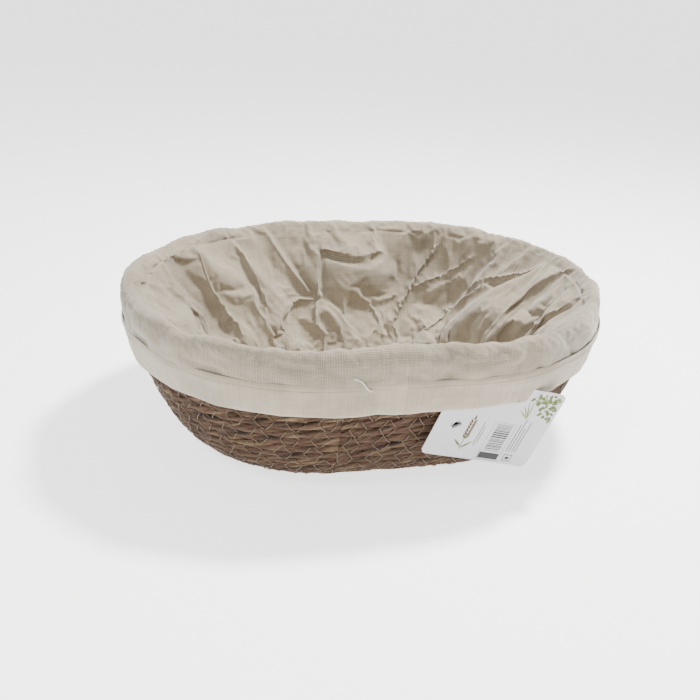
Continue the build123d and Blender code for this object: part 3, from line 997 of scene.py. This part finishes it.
# --- Loose thread ------------------------------------------------------------------------------
def build_loose_thread():
    """A limp thread end that hangs from the cuff near the hem's seam."""
    low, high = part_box("loose_thread")
    x0, x1, z0, z1 = low.x, high.x, low.z, high.z
    wide, tall = x1 - x0, z1 - z0
    spots = [(0.0, 1.0), (0.2, 0.98), (0.42, 0.86), (0.58, 0.60), (0.72, 0.30), (0.86, 0.10), (1.0, 0.12)]
    line, _ = smooth_line([(x0 + a * wide, z0 + b * tall) for a, b in spots], 30)
    share = np.linspace(0, 1, 30)
    y = low.y - 0.35 * MM - 0.5 * MM * np.sin(math.pi * share) + 0.8 * MM * np.clip(share - 0.5, 0, 1)
    path = np.stack([line[:, 0], y, line[:, 1]], 1)
    co, faces, uv = thread_tubes([path], 0.38 * MM, 8)
    obj = new_mesh("loose_thread_end", co, faces, uv)
    finish_piece(obj, PALE_THREAD, LINER_BODY, ["loose_thread"])


build_loose_thread()


# --- Swing tag ---------------------------------------------------------------------------------
def tag_point(a, c, out=0.0):
    """A point on the bowed card, from its lower left corner along and up, and out from its face."""
    a, c = np.asarray(a, float), np.asarray(c, float)
    far = (a - TAG_IN[0]) / (TAG_SIZE[0] - TAG_IN[0])
    bow = 1.1 * MM * np.clip(far, 0, 1) ** 2 - 0.5 * MM * np.clip(far, 0, 1)
    at = np.array(hole)[None] + (a - TAG_IN[0])[:, None] * np.array(TAG_ALONG)[None]
    at = at + (c - TAG_IN[1])[:, None] * np.array(TAG_ACROSS)[None]
    return at + (bow + out)[:, None] * np.array(face_out)[None]


def card_outline():
    """The card's rounded outline."""
    pts = []
    w, h = TAG_SIZE
    left, right, low, high = TAG_R, w - TAG_R, TAG_R, h - TAG_R
    for cx, cy, a0 in ((right, low, -90), (right, high, 0), (left, high, 90), (left, low, 180)):
        for i in range(7):
            a = math.radians(a0 + 15 * i)
            pts.append((cx + TAG_R * math.cos(a), cy + TAG_R * math.sin(a)))
    return np.array(pts)


def build_card():
    """The card, slightly bowed, with a round hole."""
    bm = bmesh.new()
    outline = card_outline()
    count = 48
    turns = [2 * math.pi * i / count for i in range(count)]
    ring = [(TAG_IN[0] + HOLE_R * math.cos(t), TAG_IN[1] + HOLE_R * math.sin(t)) for t in turns]
    outer = [bm.verts.new((x, y, 0)) for x, y in outline]
    inner = [bm.verts.new((x, y, 0)) for x, y in ring]
    edges = [bm.edges.new((outer[i], outer[(i + 1) % len(outer)])) for i in range(len(outer))]
    edges += [bm.edges.new((inner[i], inner[(i + 1) % count])) for i in range(count)]
    bmesh.ops.triangle_fill(bm, use_beauty=True, use_dissolve=False, edges=edges)
    for i in range(1, 24):
        geom = bm.verts[:] + bm.edges[:] + bm.faces[:]
        place = (TAG_SIZE[0] * i / 24, 0, 0)
        bmesh.ops.bisect_plane(bm, geom=geom, plane_co=place, plane_no=(1, 0, 0))
    flat = bpy.data.meshes.new("flat")
    bm.to_mesh(flat)
    bm.free()
    xy = np.array([v.co[:] for v in flat.vertices])
    faces = [list(p.vertices) for p in flat.polygons]
    edge_use = {}
    for f in faces:
        for i in range(len(f)):
            a, b = f[i], f[(i + 1) % len(f)]
            edge_use[(a, b)] = edge_use.get((a, b), 0) + 1
    bpy.data.meshes.remove(flat)
    n = len(xy)
    steps = [(xy[f[1]] - xy[f[0]], xy[f[2]] - xy[f[1]]) for f in faces]
    if sum(d[0] * e[1] - d[1] * e[0] for d, e in steps) < 0:
        faces = [f[::-1] for f in faces]
        edge_use = {(b, a): k for (a, b), k in edge_use.items()}
    front = tag_point(xy[:, 0], xy[:, 1], TAG_T / 2)
    back = tag_point(xy[:, 0], xy[:, 1], -TAG_T / 2)
    rim = [[a, a + n, b + n, b] for (a, b) in edge_use if (b, a) not in edge_use]
    every = faces + [[i + n for i in f][::-1] for f in faces] + rim
    uv = np.array([xy[i % n][:2] for f in every for i in f])
    obj = new_mesh("card_tag", np.vstack([front, back]), every, uv, smooth=False)
    finish_piece(obj, CARD, "tag", ["swing_tag"])


INK_ABOVE = 0.05 * MM


def printed(name, outlines, mat):
    """One print colour as flat shapes on the card; outlines are counter-clockwise, in mm on the card."""
    verts, faces, start = [], [], 0
    for outline in outlines:
        pts = np.array(outline) * MM
        p = tag_point(pts[:, 0], pts[:, 1], TAG_T / 2 + INK_ABOVE)
        verts.append(p)
        faces.append(list(range(start, start + len(p))))
        start += len(p)
    obj = new_mesh(name, np.vstack(verts), faces, None, smooth=False)
    finish_piece(obj, mat, "tag", [])


def bar(a0, c0, a1, c1):
    """A rectangle from one corner to the other."""
    return [(a0, c0), (a1, c0), (a1, c1), (a0, c1)]


def leaf(a, c, angle, length, width):
    """A pointed leaf."""
    pts = []
    half = ((0.2, 0.7), (0.45, 1.0), (0.75, 0.6))
    for t, w in ((0, 0), *half, (1, 0), *((t, -w) for t, w in half[::-1])):
        x, y = t * length, -w * width / 2
        across, up = x * math.cos(angle) - y * math.sin(angle), x * math.sin(angle) + y * math.cos(angle)
        pts.append((a + across, c + up))
    return pts


def on_card(shapes):
    """The shapes that lie wholly on the card."""
    return [s for s in shapes if all(0.6 < a < 69.9 and 0.6 < c < 52.9 for a, c in s)]


def print_card():
    """A generic print: a wheat ear, plain bars, grey lines and green sprigs, with no lettering."""
    r = np.random.default_rng(23)
    dark, grey = [], []
    dark.append(bar(36.4, 2.2, 49.6, 6.6))
    c = 8.0
    while c < 27.0:
        w = float(r.choice([0.35, 0.6, 0.9]))
        dark.append(bar(38.0, c, 48.2, c + w))
        c += w + float(r.choice([0.4, 0.6, 0.9]))
    grey += [bar(35.6, 1.4, 50.4, 1.6), bar(35.6, 28.2, 50.4, 28.4)]
    grey += [bar(35.6, 1.4, 35.8, 28.4), bar(50.2, 1.4, 50.4, 28.4)]
    for i, end in enumerate((29.5, 33.0, 27.0, 31.5)):
        grey.append(bar(52.4 + 1.9 * i, 9.5, 53.0 + 1.9 * i, end))
    grey += [bar(52.8, 2.4, 58.6, 2.9), bar(52.8, 6.8, 58.6, 7.3)]
    grey += [bar(52.8, 2.4, 53.3, 7.3), bar(58.1, 2.4, 58.6, 7.3)]
    dark.append(bar(54.4, 3.9, 57.0, 5.6))
    for i, (c0, c1) in enumerate(((10.0, 27.0), (12.0, 24.0))):
        grey.append(bar(29.2 + 1.6 * i, c0, 29.7 + 1.6 * i, c1))
    ear, stalk = [], [bar(21.9, 6.0, 22.4, 18.0)]
    for i in range(6):
        for hand in (-1, 1):
            ear.append(leaf(22.15 + 0.3 * hand, 14.0 + 2.2 * i, math.pi / 2 - hand * 0.5, 3.6, 1.5))
    ear.append(leaf(22.15, 27.0, math.pi / 2, 4.0, 1.5))
    stalk += [leaf(22.1, 8.0, math.pi / 2 + 0.9, 8.0, 1.4), leaf(22.2, 7.0, math.pi / 2 - 0.8, 8.5, 1.4)]
    green, pale = [], []
    for i in range(90):
        a, c = r.uniform(50, 69), r.uniform(34, 52)
        if a + c < 100 + r.uniform(-3, 3):
            continue
        sprig = leaf(a, c, r.uniform(0, 6.28), r.uniform(2.4, 4.0), r.uniform(1.4, 2.3))
        (green if i % 3 else pale).append(sprig)
    for angle, length in ((1.9, 13.0), (2.15, 11.5), (1.65, 12.5), (2.5, 9.5)):
        pale.append(leaf(53.5, 33.5, angle, length, 0.9))
    printed("card_print_dark", dark, INK_DARK)
    printed("card_print_grey", grey, INK_GREY)
    printed("card_print_ear", on_card(ear), INK_BROWN)
    printed("card_print_stalk", on_card(stalk), INK_OLIVE)
    printed("card_print_leaves", on_card(green), INK_GREEN)
    printed("card_print_pale_leaves", on_card(pale), INK_PALE)


def plain_material(name, colour, roughness=0.45, specular=0.3, transmission=0.0):
    """Card, ink or clear plastic: one colour, set on the shader itself."""
    mat, _, shader, _ = material(name, roughness=roughness, specular=specular)
    shader.inputs["Base Color"].default_value = (*colour, 1)
    shader.inputs["Transmission Weight"].default_value = transmission
    return mat


CARD = plain_material("card", (0.50, 0.50, 0.505), 0.38, 0.45)
INK_DARK = plain_material("ink_dark", (0.02, 0.02, 0.022))
INK_GREY = plain_material("ink_grey", (0.09, 0.09, 0.095))
INK_BROWN = plain_material("ink_brown", (0.10, 0.055, 0.025))
INK_OLIVE = plain_material("ink_olive", (0.10, 0.11, 0.04))
INK_GREEN = plain_material("ink_green", (0.085, 0.12, 0.02))
INK_PALE = plain_material("ink_pale", (0.19, 0.215, 0.08))
# painted shade: the pin's clear plastic is coloured dark grey so that the card's hole reads dark, standing in
# for the shaded rope seen through it
SHADED_PIN_PLASTIC = plain_material("clear_plastic", (0.10, 0.10, 0.105), 0.1, 0.6, 0.3)
build_card()
print_card()
pin = frame["nodes"]["tag_pin"]
pin.data.materials.clear()
pin.data.materials.append(SHADED_PIN_PLASTIC)


# --- Camera, floor and lights -------------------------------------------------------------------
CAM_AZIMUTH, CAM_ELEVATION, CAM_DISTANCE = -11.9, 25.3, 0.55
CAM_TARGET_Z, CAM_ROLL, CAM_LENS, CAM_SHIFT = 0.045, 2.56, 42.9, (-0.0174, 0.0043)


def build_camera():
    """The camera, at the height, distance and tilt from which the basket is seen."""
    data = bpy.data.cameras.new("camera")
    cam = bpy.data.objects.new("camera", data)
    bpy.context.scene.collection.objects.link(cam)
    azimuth, elevation = math.radians(CAM_AZIMUTH), math.radians(CAM_ELEVATION)
    target = Vector((0, 0, CAM_TARGET_Z))
    level = math.cos(elevation)
    back = Vector((math.sin(azimuth) * level, -math.cos(azimuth) * level, math.sin(elevation)))
    roll = Matrix.Rotation(math.radians(CAM_ROLL), 4, "Z")
    turn = (-back).to_track_quat("-Z", "Y").to_matrix().to_4x4() @ roll
    cam.matrix_world = Matrix.Translation(target + back * CAM_DISTANCE) @ turn
    data.lens = CAM_LENS
    data.sensor_width = 36
    data.shift_x, data.shift_y = CAM_SHIFT
    data.clip_start, data.clip_end = 0.01, 20
    bpy.context.scene.camera = cam


def area_light(name, place, target, size, power, colour):
    """A soft round lamp aimed at a point."""
    data = bpy.data.lights.new(name, "AREA")
    data.shape = "DISK"
    data.size = size
    data.energy = power
    data.color = colour
    light = bpy.data.objects.new(name, data)
    bpy.context.scene.collection.objects.link(light)
    light.location = place
    light.rotation_euler = (Vector(target) - Vector(place)).to_track_quat("-Z", "Y").to_euler()


FLOOR_HALF = 30  # metres


def build_stage():
    """A plain pale floor, a bright room and soft lamps."""
    far = FLOOR_HALF
    corners = [(-far, -far, 0), (far, -far, 0), (far, far, 0), (-far, far, 0)]
    floor = new_mesh("stage_floor", corners, [[0, 1, 2, 3]])
    mat, _, shader, _ = material("stage_white", roughness=0.9, specular=0.1)
    shader.inputs["Base Color"].default_value = (0.93, 0.93, 0.93, 1)
    shader.inputs["Emission Color"].default_value = (1, 1, 1, 1)
    shader.inputs["Emission Strength"].default_value = 1.9
    floor.data.materials.append(mat)
    world = bpy.data.worlds.new("room")
    bpy.context.scene.world = world
    world.use_nodes = True
    world.node_tree.nodes["Background"].inputs["Color"].default_value = (1, 1, 1, 1)
    world.node_tree.nodes["Background"].inputs["Strength"].default_value = 0.5
    area_light("key", (0.34, 0.12, 0.86), (0, 0, 0.06), 0.14, 24.0, (1, 0.985, 0.96))
    area_light("front", (-0.6, -0.5, 0.9), (0, 0, 0.05), 0.25, 6.0, (0.97, 0.98, 1.0))


build_camera()
build_stage()
